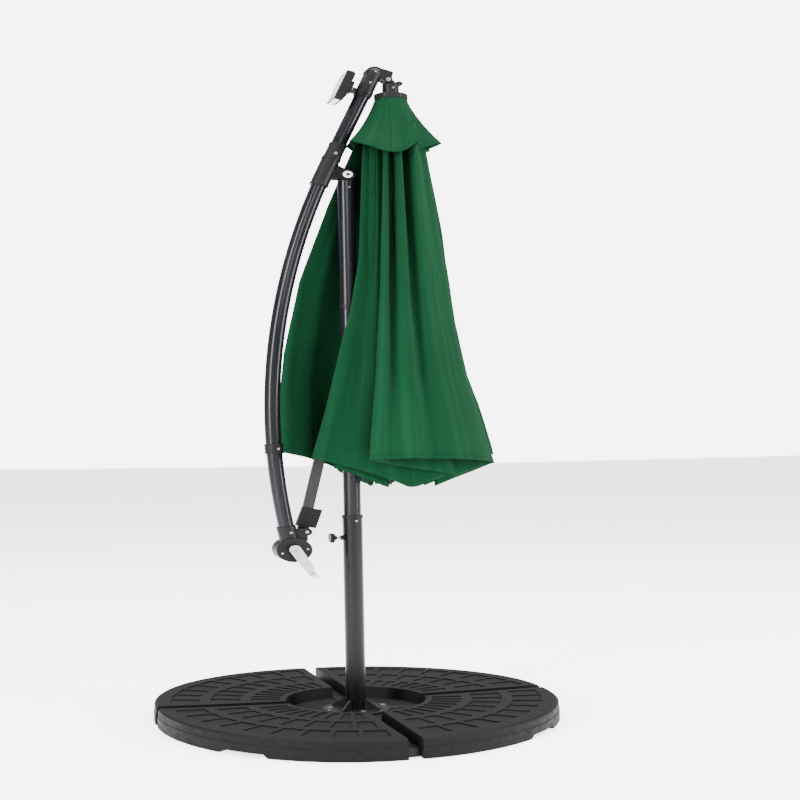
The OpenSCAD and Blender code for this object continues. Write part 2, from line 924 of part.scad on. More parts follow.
module folds(g) {
  bowed_fold(fold_left, left_bulge, [104, 32], 24, g);
  fold(fold_back, [120, 38], 24, g);
  fold(fold_back_right, [146, 24], 28, g);
  fold(fold_right, [148, -22], 28, g);
  fold(fold_front, [125, -38], 24, g);
  fold(fold_left_front, [104, -34], 22, g);
  fold(fold_core, [122, 0], 40, g);
}

// folded cloth, hollow and open below, with a slot on the pole's side
module canopy_cloth() {
  color("#3f8661")
    difference() {
      folds(0);
      translate([0, 0, -cloth_t]) folds(-cloth_t + 2);
      about_axis() translate([0, 0, 860]) cylinder(r1 = 70, r2 = 44, h = 1460);
      translate([-400, -36, 800]) cube([446, 94, 1600]);
    }
}

// small top canopy that covers the vent
module vent_flap() {
  color("#3f8661")
    difference() {
      hull() {
        about_axis() translate([0, 0, cap_z - 5]) cylinder(r = 41, h = 4);
        vent_hem(0);
      }
      hull() {
        about_axis() translate([0, 0, hub_z - 2]) cylinder(r = 45, h = 4);
        vent_hem(-cloth_t);
      }
      about_axis() translate([0, 0, hub_z - 20]) cylinder(r = 37, h = 60);
    }
}

module vent_hem(g) {
  for (k = [0:45:315])
    translate([axis_x + 8, 0, vent_foot + 1.5 * g])
      rotate([0, 0, k + 22.5]) translate([112 + g, 0, 0]) cylinder(r = 4, h = 6, $fn = 8);
}

// ---------------------------------------------------------------- solar lamp

// puts +Z along the arm and -X away from the canopy, at the solar panel's centre
module at_solar() {
  on_straight(solar_s) translate([-solar_off, 0, 0]) children();
}

// clamp round the elbow's socket with two cheeks for the panel's hinge
module solar_band() {
  color("#1f1f1f")
    difference() {
      on_straight(band_s - band_w / 2) {
        cylinder(r = elbow_r + 1.8, h = band_w);
        translate([-6, -elbow_r - 7, 0]) cube([12, 10, band_w]);
        translate([-solar_pin_off - lug_r, -11, 0])
          cube([solar_pin_off + lug_r - elbow_r + 2, 22, band_w]);
      }
      on_straight(0) cylinder(r = elbow_r, h = 500);
      on_straight(band_s) {
        translate([-solar_pin_off - 8, -lug_r, -12]) cube([15.5, 2 * lug_r, 24]);
        translate([-solar_pin_off, -12, 0]) rotate([-90, 0, 0]) cylinder(r = solar_pin_r, h = 24);
      }
    }
}

module solar_pin() {
  color("silver")
    on_straight(band_s)
      translate([-solar_pin_off, -11, 0]) rotate([-90, 0, 0]) cylinder(r = solar_pin_r, h = 22);
}

// square housing with its hinge lug
module solar_housing() {
  lug_x = solar_off - solar_pin_off;
  lug_z = band_s - solar_s;
  color("#2b2b2b")
    at_solar()
      difference() {
        union() {
          solar_case();
          for (y = [-24, 13]) translate([solar_t / 2 - 1, y, lug_z - 24]) cube([11, 11, 48]);
          translate([solar_t / 2, -lug_r + 0.4, lug_z - lug_r])
            cube([lug_x - solar_t / 2, 2 * lug_r - 0.8, 2 * lug_r]);
          y_rod(lug_x, lug_z, lug_r, -lug_r + 0.4, lug_r - 0.4);
        }
        translate([-solar_t / 2 - 1, -solar_w / 2 + 5, -solar_len / 2 + 5])
          cube([4, solar_w - 10, solar_len - 10]);
        translate([-solar_t / 2 + 2, -solar_w / 2 + 3, -solar_len / 2 - 1])
          cube([solar_t - solar_bevel - 3, solar_w - 6, 3]);
        y_rod(lug_x, lug_z, solar_pin_r + fit, -20, 20);
      }
}

// box with a bevelled back
module solar_case() {
  translate([0, -solar_w / 2, 0])
    rotate([-90, 0, 0])
      linear_extrude(solar_w)
        polygon([[-solar_t / 2, -solar_len / 2], [-solar_t / 2, solar_len / 2],
                 [solar_t / 2 - solar_bevel, solar_len / 2], [solar_t / 2, solar_len / 2 - solar_bevel],
                 [solar_t / 2, -solar_len / 2 + solar_bevel], [solar_t / 2 - solar_bevel, -solar_len / 2]]);
}

// cover over the cells, and a pale strip let into the lower edge
module solar_glass() {
  color("#e8ecec")
    at_solar() {
      translate([-solar_t / 2 - 0.5, -solar_w / 2 + 5, -solar_len / 2 + 5])
        cube([3.5, solar_w - 10, solar_len - 10]);
      translate([-solar_t / 2 + 2, -solar_w / 2 + 3, -solar_len / 2 - 0.5])
        cube([solar_t - solar_bevel - 3, solar_w - 6, 2.5]);
    }
}

// ---------------------------------------------------------------- nodes

for (i = plate_quarters)
  base_plate(i);
cross_bar_long();
cross_bar_short();
bar_end_plugs();
foot_flange();
base_screws();
lower_pole();
pole_ferrule();
pole_bush();
knob_boss();
clamp_knob();
clamp_screw();
upper_pole();
mast_ring();
mast_screws();
strut_bracket();
strut_stud();
pole_head();
arm_sleeve();
sleeve_liners();
pivot_pin();
pivot_washers();
arm_lower_tube();
arm_joint_ring();
arm_mid_tube();
arm_collar();
arm_top_tube();
elbow_fitting();
arm_screws();
hang_pin();
crank_rope();
crank_housing_front();
crank_housing_back();
housing_screws();
snap_button();
elbow_pulley();
crank_shaft();
rope_spool();
crank_arm();
crank_grip();
strut_bar();
strut_end_fitting();
strut_rivets();
hanger_neck();
cap_disc();
rib_hub();
canopy_stem();
runner();
ribs();
stretchers();
rib_tips();
canopy_cloth();
vent_flap();
solar_band();
solar_pin();
solar_housing();
solar_glass();
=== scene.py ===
import math
import bpy
import bmesh
from mathutils import Matrix, Vector, noise


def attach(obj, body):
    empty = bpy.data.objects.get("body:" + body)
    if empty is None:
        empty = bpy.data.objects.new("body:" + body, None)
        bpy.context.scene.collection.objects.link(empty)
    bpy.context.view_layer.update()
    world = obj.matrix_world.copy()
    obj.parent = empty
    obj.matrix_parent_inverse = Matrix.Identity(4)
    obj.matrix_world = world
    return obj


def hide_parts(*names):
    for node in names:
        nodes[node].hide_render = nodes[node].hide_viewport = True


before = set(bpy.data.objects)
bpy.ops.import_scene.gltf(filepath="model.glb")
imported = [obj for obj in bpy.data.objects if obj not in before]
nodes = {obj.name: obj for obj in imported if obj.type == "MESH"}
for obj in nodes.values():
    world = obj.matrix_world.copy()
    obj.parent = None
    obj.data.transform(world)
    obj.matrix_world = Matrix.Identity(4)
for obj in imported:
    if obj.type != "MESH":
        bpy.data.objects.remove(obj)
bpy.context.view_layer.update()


# ---------------------------------------------------------------- camera
# The photograph shows the umbrella squeezed to two thirds of its height. A cylindrical
# projection keeps the model's true proportions and gives the same picture.
CAMERA_PLACE = (-0.9836, -3.6732, 1.1362)
CAMERA_TURN, CAMERA_PITCH, CAMERA_ROLL = (math.radians(a) for a in (-16.87, 1.106, -0.764))
HALF_WIDTH, HALF_HEIGHT = 0.2633, 0.4043  # of the cylinder's picture, at a radius of 1


def make_camera():
    ahead = Vector((-math.sin(CAMERA_TURN), math.cos(CAMERA_TURN), 0))
    right = Vector((math.cos(CAMERA_TURN), math.sin(CAMERA_TURN), 0))
    look = ahead * math.cos(CAMERA_PITCH) + Vector((0, 0, math.sin(CAMERA_PITCH)))
    level_up = right.cross(look)
    side = right * math.cos(CAMERA_ROLL) + level_up * math.sin(CAMERA_ROLL)
    up = -right * math.sin(CAMERA_ROLL) + level_up * math.cos(CAMERA_ROLL)
    data = bpy.data.cameras.new("camera")
    data.type = "PANO"
    data.panorama_type = "CENTRAL_CYLINDRICAL"
    data.central_cylindrical_radius = 1.0
    data.central_cylindrical_range_u_min = -HALF_WIDTH
    data.central_cylindrical_range_u_max = HALF_WIDTH
    data.central_cylindrical_range_v_min = -HALF_HEIGHT
    data.central_cylindrical_range_v_max = HALF_HEIGHT
    cam = bpy.data.objects.new("camera", data)
    bpy.context.scene.collection.objects.link(cam)
    axes = Matrix((side, up, -look)).transposed()
    cam.matrix_world = Matrix.Translation(CAMERA_PLACE) @ axes.to_4x4()
    bpy.context.scene.camera = cam


make_camera()


# ---------------------------------------------------------------- light and surround
WORLD_AS_LIGHT, WORLD_AS_SEEN = 0.8, 6.5


def area_light(name, place, aim, size, power):
    data = bpy.data.lights.new(name, "AREA")
    data.shape = "RECTANGLE"
    data.size, data.size_y = size
    data.energy = power
    ob = bpy.data.objects.new(name, data)
    bpy.context.scene.collection.objects.link(ob)
    ob.location = place
    ob.rotation_euler = (Vector(aim) - Vector(place)).to_track_quat("-Z", "Y").to_euler()


def make_world():
    """A pale surround: bright where it is seen directly, dimmer as a light on the object."""
    world = bpy.data.worlds.new("studio")
    bpy.context.scene.world = world
    world.use_nodes = True
    tree = world.node_tree
    back = tree.nodes["Background"]
    back.inputs["Color"].default_value = (1, 1, 1, 1)
    seen = tree.nodes.new("ShaderNodeLightPath")
    level = tree.nodes.new("ShaderNodeMapRange")
    level.inputs["To Min"].default_value = WORLD_AS_LIGHT
    level.inputs["To Max"].default_value = WORLD_AS_SEEN
    tree.links.new(seen.outputs["Is Camera Ray"], level.inputs["Value"])
    tree.links.new(level.outputs["Result"], back.inputs["Strength"])


make_world()
area_light("key", (-3.6, -2.6, 2.4), (0, 0, 1.2), (0.9, 3.4), 400)
area_light("fill", (3.4, -2.2, 2.2), (0, 0, 1.2), (0.8, 3.4), 280)
area_light("front", (-0.6, -5.2, 3.4), (0, 0, 1.0), (2.0, 1.6), 110)
area_light("top", (0.4, 0.4, 5.0), (0, 0, 0), (5.0, 5.0), 900)


# ---------------------------------------------------------------- materials
class Mat:
    """A small helper round one node tree."""

    def __init__(self, name):
        self.m = bpy.data.materials.new(name)
        self.m.use_nodes = True
        self.t = self.m.node_tree
        self.b = self.t.nodes["Principled BSDF"]
        self.out = self.t.nodes["Material Output"]

    def node(self, kind, **inputs):
        n = self.t.nodes.new(kind)
        for k, v in inputs.items():
            n.inputs[k.replace("_", " ")].default_value = v
        return n

    def link(self, a, b):
        self.t.links.new(a, b)

    def coords(self, kind="Object", scale=(1, 1, 1)):
        c = self.t.nodes.new("ShaderNodeTexCoord")
        m = self.t.nodes.new("ShaderNodeMapping")
        m.inputs["Scale"].default_value = scale
        self.link(c.outputs[kind], m.inputs["Vector"])
        return m.outputs["Vector"]

    def noise(self, vec, scale, detail=4.0, rough=0.55):
        n = self.node("ShaderNodeTexNoise", Scale=scale, Detail=detail, Roughness=rough)
        self.link(vec, n.inputs["Vector"])
        return n.outputs["Fac"]

    def ramp(self, fac, stops):
        r = self.t.nodes.new("ShaderNodeValToRGB")
        els = r.color_ramp.elements
        while len(els) < len(stops):
            els.new(0.5)
        for e, (p, c) in zip(els, stops):
            e.position = p
            e.color = (*c, 1) if len(c) == 3 else c
        self.link(fac, r.inputs["Fac"])
        return r.outputs["Color"]

    def span(self, fac, lo, hi, lo_in=0.0, hi_in=1.0):
        n = self.t.nodes.new("ShaderNodeMapRange")
        n.inputs["From Min"].default_value = lo_in
        n.inputs["From Max"].default_value = hi_in
        n.inputs["To Min"].default_value = lo
        n.inputs["To Max"].default_value = hi
        self.link(fac, n.inputs["Value"])
        return n.outputs["Result"]

    def math(self, op, a, b=0.0, c=0.0):
        n = self.t.nodes.new("ShaderNodeMath")
        n.operation = op
        for i, v in enumerate((a, b, c)):
            if hasattr(v, "links"):
                self.link(v, n.inputs[i])
            else:
                n.inputs[i].default_value = v
        return n.outputs[0]

    def mix(self, fac, a, b):
        n = self.t.nodes.new("ShaderNodeMix")
        n.data_type = "RGBA"
        for sock, v in ((n.inputs[0], fac), (n.inputs[6], a), (n.inputs[7], b)):
            if hasattr(v, "links"):
                self.link(v, sock)
            else:
                sock.default_value = v if isinstance(v, float) else (*v, 1)
        return n.outputs[2]

    def bump(self, height, strength, distance, normal=None):
        n = self.node("ShaderNodeBump", Strength=strength, Distance=distance)
        self.link(height, n.inputs["Height"])
        if normal is not None:
            self.link(normal, n.inputs["Normal"])
        return n.outputs["Normal"]

    def round_edges(self, radius):
        n = self.node("ShaderNodeBevel", Radius=radius)
        n.samples = 4
        return n.outputs["Normal"]

    def set(self, **values):
        for k, v in values.items():
            s = self.b.inputs[k.replace("_", " ")]
            if hasattr(v, "links"):
                self.link(v, s)
            else:
                s.default_value = v
        return self


GRAIN, GRAIN_DEPTH, PLASTIC_EDGE = 900, 0.00012, 0.0009


def plastic(name, dark, pale, rough):
    k = Mat(name)
    v = k.coords()
    cloudy = k.noise(v, 9, 6)
    fine = k.noise(v, GRAIN, 2)
    worn = k.noise(v, 60, 5, 0.7)
    base = k.ramp(cloudy, [(0.3, dark), (0.75, pale)])
    base = k.mix(k.span(worn, 0.0, 0.35, 0.62, 0.8), base, tuple(min(1, c * 1.9) for c in pale))
    normal = k.bump(fine, 0.35, GRAIN_DEPTH, k.round_edges(PLASTIC_EDGE))
    k.set(Base_Color=base, Roughness=k.span(worn, rough - 0.08, rough + 0.12, 0.3, 0.7), Normal=normal)
    k.set(Specular_IOR_Level=0.15)
    return k.m


def paint(name, dark, pale, rough, metallic):
    k = Mat(name)
    v = k.coords()
    streaks = k.noise(k.coords(scale=(1, 1, 0.04)), 55, 4)
    peel = k.noise(v, 420, 3)
    specks = k.noise(v, 1500, 1)
    base = k.ramp(streaks, [(0.3, dark), (0.7, pale)])
    base = k.mix(k.span(specks, 0.0, 0.12, 0.66, 0.85), base, tuple(min(1, c * 2.0) for c in pale))
    normal = k.bump(peel, 0.10, 0.00003, k.round_edges(0.0006))
    k.set(Base_Color=base, Roughness=k.span(streaks, rough - 0.05, rough + 0.08, 0.3, 0.7), Normal=normal)
    k.set(Metallic=metallic, Coat_Weight=0.05, Coat_Roughness=0.22, Specular_IOR_Level=0.2)
    return k.m


def metal(name, dark, pale, rough, brushed=(1, 1, 1)):
    k = Mat(name)
    v = k.coords(scale=brushed)
    lines = k.noise(v, 260, 3)
    blotch = k.noise(k.coords(), 45, 4)
    base = k.ramp(blotch, [(0.3, dark), (0.7, pale)])
    normal = k.bump(lines, 0.3, 0.00006, k.round_edges(0.0005))
    k.set(Base_Color=base, Roughness=k.span(lines, rough - 0.08, rough + 0.12, 0.3, 0.7), Normal=normal)
    k.set(Metallic=1.0)
    return k.m


def slab(name):
    """Charcoal plastic of the weight plates: sandy grain and streaks, with a painted highlight on faces
    that point up.
    """
    k = Mat(name)
    v = k.coords()
    grain = k.noise(v, 620, 3, 0.7)
    broad = k.noise(v, 5, 5)
    streak = k.noise(k.coords(scale=(1, 0.12, 1)), 90, 5)
    g = k.t.nodes.new("ShaderNodeNewGeometry")
    xyz = k.t.nodes.new("ShaderNodeSeparateXYZ")
    k.link(g.outputs["Normal"], xyz.inputs[0])
    base = k.ramp(broad, [(0.3, (0.0022, 0.0022, 0.0023)), (0.7, (0.0034, 0.0034, 0.0035))])
    # painted highlight: a lighter, streaky grey mixed in on faces that point up
    painted_top_light = k.ramp(streak, [(0.35, (0.0048, 0.0048, 0.0049)), (0.7, (0.0080, 0.0080, 0.0079))])
    base = k.mix(k.span(xyz.outputs["Z"], 0.0, 0.75, 0.4, 0.95), base, painted_top_light)
    base = k.mix(k.span(grain, 0.0, 0.35, 0.6, 0.8), base, (0.015, 0.015, 0.015))
    normal = k.bump(grain, 0.5, 0.0005, k.round_edges(0.0016))
    k.set(Base_Color=base, Roughness=k.span(streak, 0.55, 0.75, 0.3, 0.7), Normal=normal)
    k.set(Specular_IOR_Level=0.10)
    return k.m


HEM_LEN = 1.386  # hub to the middle of a gore's hem
HEM_FOLD, STITCH_ROW = 0.018, 0.016  # from the cloth's edge
STITCH_HALF, SEAM_HALF = 0.0014, 0.0016  # half the width of each line
VALLEY_REACH = 0.14  # how near other cloth has to be for painted shade to darken a fold


def cloth_material(name, length, seams):
    """Woven polyester: u runs round the hem in metres, v down from the hub in metres."""
    k = Mat(name)
    c = k.t.nodes.new("ShaderNodeTexCoord")
    uv = k.t.nodes.new("ShaderNodeSeparateXYZ")
    k.link(c.outputs["UV"], uv.inputs[0])
    u, v = uv.outputs["X"], uv.outputs["Y"]
    weave = k.math("MULTIPLY", k.math("SINE", k.math("MULTIPLY", u, 4200.0)),
                   k.math("SINE", k.math("MULTIPLY", v, 4200.0)))
    obj = k.coords()
    tone = k.noise(obj, 3.2, 5)
    streak = k.noise(k.coords("UV", (26, 1.1, 1)), 1.0, 5, 0.6)
    slub = k.noise(k.coords("UV", (900, 30, 1)), 1.0, 2)
    base = k.ramp(tone, [(0.25, (0.0018, 0.0220, 0.0084)), (0.75, (0.0024, 0.0285, 0.0107))])
    base = k.mix(k.span(streak, 0.0, 0.75, 0.45, 0.75), base, (0.0044, 0.0410, 0.0165))
    base = k.mix(k.span(slub, 0.0, 0.16, 0.55, 0.75), base, (0.0011, 0.0135, 0.0058))
    # turned hem with one row of stitching, and a seam along each rib
    hem = k.math("SUBTRACT", length, v)
    stitch_line = k.math("LESS_THAN", k.math("ABSOLUTE", k.math("SUBTRACT", hem, STITCH_ROW)), STITCH_HALF)
    stitches = k.math("GREATER_THAN", k.math("SINE", k.math("MULTIPLY", u, 1500.0)), -0.5)
    stitch = k.math("MULTIPLY", stitch_line, stitches)
    near_seam = 1.0
    for s in seams:
        d = k.math("ABSOLUTE", k.math("SUBTRACT", u, s))
        near_seam = k.math("MINIMUM", near_seam, d)
    seam = k.math("LESS_THAN", near_seam, SEAM_HALF)
    base = k.mix(k.math("MULTIPLY", seam, 0.55), base, (0.0010, 0.012, 0.0048))
    base = k.mix(k.math("MULTIPLY", stitch, 0.6), base, (0.0011, 0.013, 0.0052))
    # painted shade: the cloth's colour goes darker in folds where other cloth is near
    shade = k.node("ShaderNodeAmbientOcclusion", Distance=VALLEY_REACH)
    shade.samples = 6
    base = k.mix(k.span(shade.outputs["AO"], 0.94, 0.0, 0.12, 0.70), base, (0.0003, 0.0035, 0.0014))
    hem_step = k.math("LESS_THAN", hem, HEM_FOLD)
    height = k.math("ADD", k.math("MULTIPLY", weave, 0.10), k.math("MULTIPLY", streak, 0.5))
    height = k.math("ADD", height, k.math("MULTIPLY", hem_step, 0.8))
    height = k.math("SUBTRACT", height, k.math("MULTIPLY", k.math("MAXIMUM", seam, stitch), 0.9))
    k.set(Base_Color=base, Roughness=0.78, Normal=k.bump(height, 0.55, 0.0012))
    k.set(Sheen_Weight=0.01, Sheen_Roughness=0.45, Specular_IOR_Level=0.03)
    thin = k.t.nodes.new("ShaderNodeBsdfTranslucent")
    k.link(base, thin.inputs["Color"])
    both = k.t.nodes.new("ShaderNodeMixShader")
    both.inputs[0].default_value = 0.06
    k.link(k.b.outputs[0], both.inputs[1])
    k.link(thin.outputs[0], both.inputs[2])
    k.link(both.outputs[0], k.out.inputs["Surface"])
    return k.m


def solar_face(name):
    k = Mat(name)
    c = k.t.nodes.new("ShaderNodeTexCoord")
    uv = k.t.nodes.new("ShaderNodeSeparateXYZ")
    k.link(c.outputs["Object"], uv.inputs[0])
    lines = k.math("LESS_THAN", k.math("FRACT", k.math("MULTIPLY", uv.outputs["Y"], 40.0)), 0.06)
    haze = k.noise(k.coords(), 30, 4)
    base = k.ramp(haze, [(0.3, (0.62, 0.65, 0.66)), (0.7, (0.78, 0.80, 0.80))])
    base = k.mix(k.math("MULTIPLY", lines, 0.35), base, (0.35, 0.38, 0.40))
    k.set(Base_Color=base, Roughness=k.span(haze, 0.08, 0.2, 0.3, 0.7), Coat_Weight=0.6)
    return k.m


def cord_material(name):
    k = Mat(name)
    twist = k.noise(k.coords(scale=(300, 300, 90)), 1.0, 3)
    base = k.ramp(twist, [(0.3, (0.42, 0.40, 0.35)), (0.7, (0.66, 0.63, 0.56))])
    k.set(Base_Color=base, Roughness=0.85, Normal=k.bump(twist, 0.6, 0.0004))
    return k.m


black = plastic("black_plastic", (0.0025, 0.0025, 0.0027), (0.0045, 0.0045, 0.0047), 0.40)
knob = plastic("knob_plastic", (0.002, 0.002, 0.002), (0.0035, 0.0035, 0.0035), 0.34)
plate_mat = slab("plate_plastic")
tube = paint("tube_paint", (0.012, 0.012, 0.0145), (0.019, 0.019, 0.022), 0.24, 0.8)
pole = paint("pole_paint", (0.006, 0.006, 0.0064), (0.010, 0.010, 0.0105), 0.30, 0.6)
strut = paint("strut_paint", (0.016, 0.016, 0.016), (0.023, 0.023, 0.0226), 0.42, 0.2)
bar = paint("bar_paint", (0.005, 0.005, 0.0052), (0.009, 0.009, 0.0093), 0.42, 0.2)
dark_steel = metal("dark_steel", (0.02, 0.02, 0.02), (0.04, 0.04, 0.04), 0.4)
zinc = metal("zinc", (0.24, 0.24, 0.235), (0.36, 0.36, 0.35), 0.34)
alloy = metal("crank_alloy", (0.34, 0.37, 0.41), (0.46, 0.49, 0.53), 0.30, (1, 1, 0.1))
nylon = plastic("nylon", (0.55, 0.55, 0.52), (0.72, 0.72, 0.69), 0.4)
rope = cord_material("rope")
glass = solar_face("solar_face")

LOOKS = {
    plate_mat: ["base_plate_1", "base_plate_2", "base_plate_3", "base_plate_4"],
    bar: ["cross_bar_long", "cross_bar_short", "foot_flange"],
    pole: ["lower_pole"],
    tube: ["upper_pole", "arm_lower_tube", "arm_mid_tube", "arm_top_tube", "canopy_stem", "ribs",
           "stretchers"],
    strut: ["strut_bar"],
    zinc: ["base_screws", "clamp_screw", "mast_screws", "strut_stud", "arm_screws", "hang_pin",
           "housing_screws", "crank_shaft", "strut_rivets", "solar_pin", "snap_button"],
    dark_steel: ["pivot_pin"],
    alloy: ["crank_arm"],
    nylon: ["sleeve_liners", "pivot_washers", "elbow_pulley", "rope_spool", "crank_grip"],
    rope: ["crank_rope"],
    glass: ["solar_glass"],
    knob: ["clamp_knob", "bar_end_plugs"],
}
looks_of = {n: m for m, names in LOOKS.items() for n in names}
for n, ob in nodes.items():
    ob.data.materials.clear()
    ob.data.materials.append(looks_of.get(n, black))


# ---------------------------------------------------------------- curved arm tubes
# Both tubes follow one circle. Their smooth walls are made here, with the same ends and bore.
ARC_MID, ARC_RADIUS = Vector((2.840, 0, 1.158)), 3.040
TUBE_OUT, TUBE_IN = 0.020, 0.0185
FOOT_DEG, RING_DEG, STRAIGHT_DEG = -9.1, -2.46, 18.5  # up from the level of the circle's centre
TAIL = 0.030  # straight end of the middle tube, in the arm's collar
TUBE_STEPS, TUBE_SIDES = 96, 64


def arc_station(deg, tail=0.0):
    """The tube's centre and the way outwards, at an angle on the circle or straight on past it."""
    a = math.radians(deg)
    out = Vector((-math.cos(a), 0, math.sin(a)))
    ahead = Vector((math.sin(a), 0, math.cos(a)))
    return ARC_MID + out * ARC_RADIUS + ahead * tail, out


def tube_wall(bm, stations, radius):
    """One ring of points round each station."""
    turns = [2 * math.pi * k / TUBE_SIDES for k in range(TUBE_SIDES)]
    return [[bm.verts.new(mid + out * radius * math.cos(t) + Vector((0, radius * math.sin(t), 0)))
             for t in turns] for mid, out in stations]


def curved_tube(name, stands_for, first, last, tail=0.0):
    """A hollow tube along the arm's circle, shown in place of one CAD tube."""
    stations = [arc_station(first + (last - first) * i / TUBE_STEPS) for i in range(TUBE_STEPS + 1)]
    if tail:
        stations.append(arc_station(last, tail))
    bm = bmesh.new()
    outer = tube_wall(bm, stations, TUBE_OUT)
    inner = tube_wall(bm, stations, TUBE_IN)
    nexts = [(k, (k + 1) % TUBE_SIDES) for k in range(TUBE_SIDES)]
    for i in range(len(stations) - 1):
        for k, j in nexts:
            bm.faces.new((outer[i][k], outer[i][j], outer[i + 1][j], outer[i + 1][k])).smooth = True
            bm.faces.new((inner[i][k], inner[i + 1][k], inner[i + 1][j], inner[i][j])).smooth = True
    for k, j in nexts:
        bm.faces.new((outer[0][k], inner[0][k], inner[0][j], outer[0][j]))
    for k, j in nexts:
        bm.faces.new((outer[-1][j], inner[-1][j], inner[-1][k], outer[-1][k]))
    bmesh.ops.recalc_face_normals(bm, faces=bm.faces)
    mesh = bpy.data.meshes.new(name)
    bm.to_mesh(mesh)
    bm.free()
    mesh.materials.append(tube)
    ob = bpy.data.objects.new(name, mesh)
    bpy.context.scene.collection.objects.link(ob)
    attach(ob, "arm")
    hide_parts(stands_for)


curved_tube("lower_tube_smooth", "arm_lower_tube", FOOT_DEG, RING_DEG)
curved_tube("mid_tube_smooth", "arm_mid_tube", RING_DEG, STRAIGHT_DEG, TAIL)

NECK_SCREW_PLACE = (0.1225, -0.0217, 2.4225)  # on the front of the hanger's neck


def make_neck_screw():
    bpy.ops.mesh.primitive_cylinder_add(radius=0.0034, depth=0.003, vertices=32,
                                        location=NECK_SCREW_PLACE, rotation=(math.pi / 2, 0, 0))
    screw = bpy.context.active_object
    screw.name = "neck_screw"
    screw.data.materials.append(zinc)
    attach(screw, "hanger")


make_neck_screw()


# ---------------------------------------------------------------- folded canopy
AXIS = Vector((0.122, 0.0))  # of the hanging canopy, seen from above
APEX_Z = 2.366  # where the gores are measured from
TOP_Z = 2.288  # top edge of the modelled cloth, under the vent

# how far a point has moved from the top of the cloth to its hem, against the height travelled
RIGHT = [(0, 0), (0.08, 0.15), (0.33, 0.35), (0.57, 0.47), (0.75, 0.64), (0.845, 0.80), (1, 1)]
FRONT = [(0, 0), (0.08, 0.14), (0.33, 0.30), (0.57, 0.48), (0.75, 0.65), (0.845, 0.78), (1, 1)]
FLAP = [(0, 0), (0.08, 0.12), (0.42, 0.22), (0.58, 0.38), (0.645, 0.485), (0.815, 0.71), (1, 1)]
INNER = [(0, 0), (0.08, 0.10), (0.42, 0.16), (0.58, 0.30), (0.815, 0.62), (1, 1)]
LEFT = [(0, 0), (0.08, 0.20), (0.25, 0.47), (0.48, 0.78), (0.70, 0.96), (0.80, 1.0), (0.93, 1.01),
        (1, 1)]
BACK = [(0, 0), (0.10, 0.20), (0.33, 0.42), (0.60, 0.62), (0.80, 0.80), (1, 1)]
VALLEY = [(0, 0), (0.10, 0.03), (0.33, 0.18), (0.57, 0.42), (0.75, 0.62), (0.845, 0.78), (1, 1)]


def lobes(first, last, tips):
    """Radial pleats round the axis between two angles, one for each tip radius in mm."""
    pts, step = [], (last - first) / len(tips)
    for i, tip in enumerate(tips):
        a = first + step * i
        mid = a + step / 2
        for ang, r, top in ((a, 74 if i else 70, 41), (mid - 3.2, 140, 52), (mid - 2.6, tip, 66),
                            (mid + 2.6, tip, 66), (mid + 3.2, 140, 52)):
            turn = math.radians(ang)
            pts.append((122 + r * math.cos(turn), r * math.sin(turn), 360 + ang, top))
    return pts


# Each gore runs from one rib to the next, anticlockwise from above, as
# (x, y at the hem in mm, angle and radius at the top in degrees and mm).
GORES = [
    (FRONT, [(132, -84, 222, 42), (184, -92, 224, 44), (232, -96, 226, 46), (228, -106, 227, 47),
             (150, -106, 228, 49), (96, -108, 229, 52), (50, -126, 233, 58), (14, -148, 238, 62),
             (2, -164, 242, 64), (16, -174, 245, 62), (40, -170, 247, 54), (60, -158, 251, 36),
             (90, -166, 262, 58), (130, -166, 273, 63), (164, -144, 290, 36),
             (198, -148, 300, 60), (250, -130, 309, 62), (304, -98, 318, 56), (346, -58, 326, 63),
             (370, -28, 333, 66), (362, -20, 336, 60), (320, -34, 337, 54), (272, -46, 338, 50),
             (236, -54, 339, 46)]),
    (RIGHT, [(202, -50, 340, 42), (262, -38, 342, 48), (326, -20, 344, 54), (330, -10, 346, 54),
             (264, -24, 347, 48), (212, -32, 348, 42), (236, -18, 350, 50), (290, -2, 353, 58),
             (346, 16, 355, 64), (392, 38, 358, 66), (384, 54, 360, 62), (336, 38, 361, 54),
             (284, 22, 362, 50), (236, 10, 363, 45)]),
    (BACK, lobes(6, 46, (238, 226, 214))),
    (BACK, lobes(46, 88, (214, 212, 208))),
    (BACK, lobes(88, 132, (206, 200, 196))),
    (LEFT, [(72, 78, 492, 42), (62, 112, 494, 48), (40, 150, 496, 54), (0, 160, 498, 60),
            (-50, 150, 500, 62), (-98, 132, 503, 62), (-140, 106, 507, 60), (-160, 82, 511, 58),
            (-144, 68, 514, 56), (-112, 63, 517, 54), (-90, 66, 520, 50), (-66, 84, 522, 44),
            (-30, 104, 524, 42), (12, 104, 526, 42), (44, 84, 528, 42)]),
    (INNER, [(58, 34, 531, 42), (60, 4, 540, 43), (54, -22, 550, 44), (38, -36, 556, 45),
             (6, -38, 561, 47), (-30, -40, 564, 50), (-30, -43, 565, 50), (6, -43, 566, 47),
             (46, -43, 567, 43), (46, -46, 568, 43), (6, -47, 569, 47), (-34, -48, 570, 50),
             (-34, -52, 571, 50), (6, -51, 572, 47), (44, -50, 573, 44), (66, -50, 575, 42)]),
    (FLAP, [(80, -54, 578, 40), (20, -56, 579, 44), (-50, -55, 580, 50), (-50, -59, 580, 50),
            (20, -62, 581, 46), (70, -66, 582, 44), (70, -71, 583, 44), (20, -70, 584, 48),
            (-44, -64, 570, 56), (-84, -59, 556, 62), (-106, -58, 553, 67), (-116, -66, 556, 70),
            (-92, -74, 559, 68), (-44, -80, 566, 36), (24, -92, 573, 60), (86, -91, 579, 44)]),
]


def along(profile, t):
    for (t0, f0), (t1, f1) in zip(profile, profile[1:]):
        if t <= t1:
            return f0 + (f1 - f0) * (t - t0) / (t1 - t0)
    return profile[-1][1]


